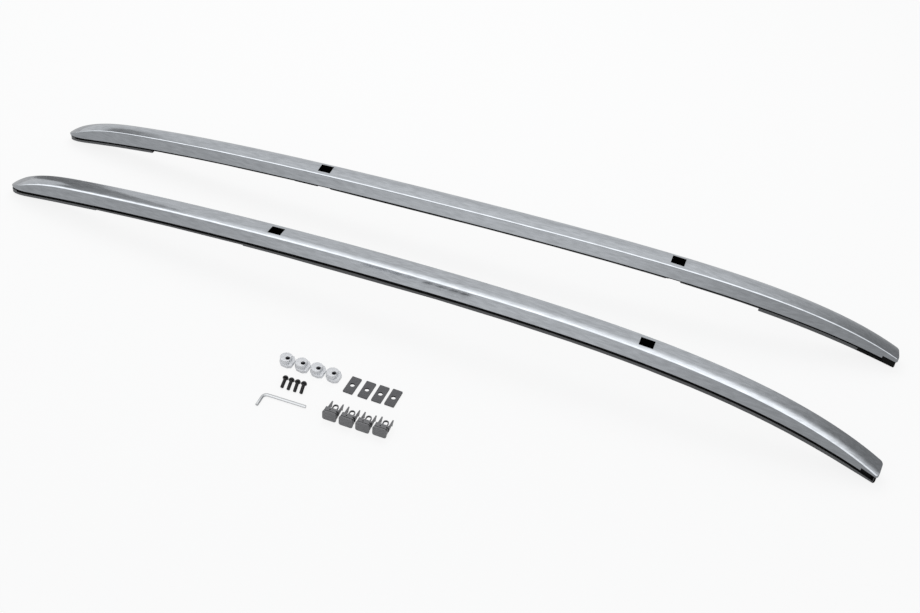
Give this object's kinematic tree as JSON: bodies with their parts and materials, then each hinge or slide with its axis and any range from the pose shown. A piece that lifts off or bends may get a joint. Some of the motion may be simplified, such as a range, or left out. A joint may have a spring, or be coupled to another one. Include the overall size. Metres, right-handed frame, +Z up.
{
  "type": "roof side rail pair",
  "caption": "Two arched hollow aluminium rails for a car roof, with feet, seals and fixing windows, set out with their nuts, screws, pads, window covers and hex key.",
  "frame": {"origin": "on the surface that the pair stands on, under the middle of the whole layout", "axes": "+X to the front end of the rails, +Y to the left of the car, +Z up"},
  "size_m": [1.6872, 0.589, 0.1176],
  "materials": {
    "satin_aluminium": "satin anodised",
    "foot_plastic": "fine moulded texture",
    "seal_rubber": "dull extruded",
    "nut_metal": "tumbled casting",
    "pad_rubber": "dull cut sheet",
    "screw_steel": "black coated",
    "cover_plastic": "grained moulding",
    "key_steel": "bright plated"
  },
  "bodies": {
    "root": {"right_rail_body": "satin_aluminium", "right_rear_foot": "foot_plastic", "right_rear_seal": "seal_rubber", "right_front_seal": "seal_rubber", "right_front_foot": "foot_plastic", "left_rail_body": "satin_aluminium", "left_rear_foot": "foot_plastic", "left_rear_seal": "seal_rubber", "left_front_seal": "seal_rubber", "left_front_foot": "foot_plastic", "spacer_nut_1": "nut_metal", "seal_pad_1": "pad_rubber", "fixing_screw_1": "screw_steel", "window_cover_1": "cover_plastic", "spacer_nut_2": "nut_metal", "seal_pad_2": "pad_rubber", "fixing_screw_2": "screw_steel", "window_cover_2": "cover_plastic", "spacer_nut_3": "nut_metal", "seal_pad_3": "pad_rubber", "fixing_screw_3": "screw_steel", "window_cover_3": "cover_plastic", "spacer_nut_4": "nut_metal", "seal_pad_4": "pad_rubber", "fixing_screw_4": "screw_steel", "window_cover_4": "cover_plastic", "hex_key": "key_steel"}
  },
  "joints": []
}
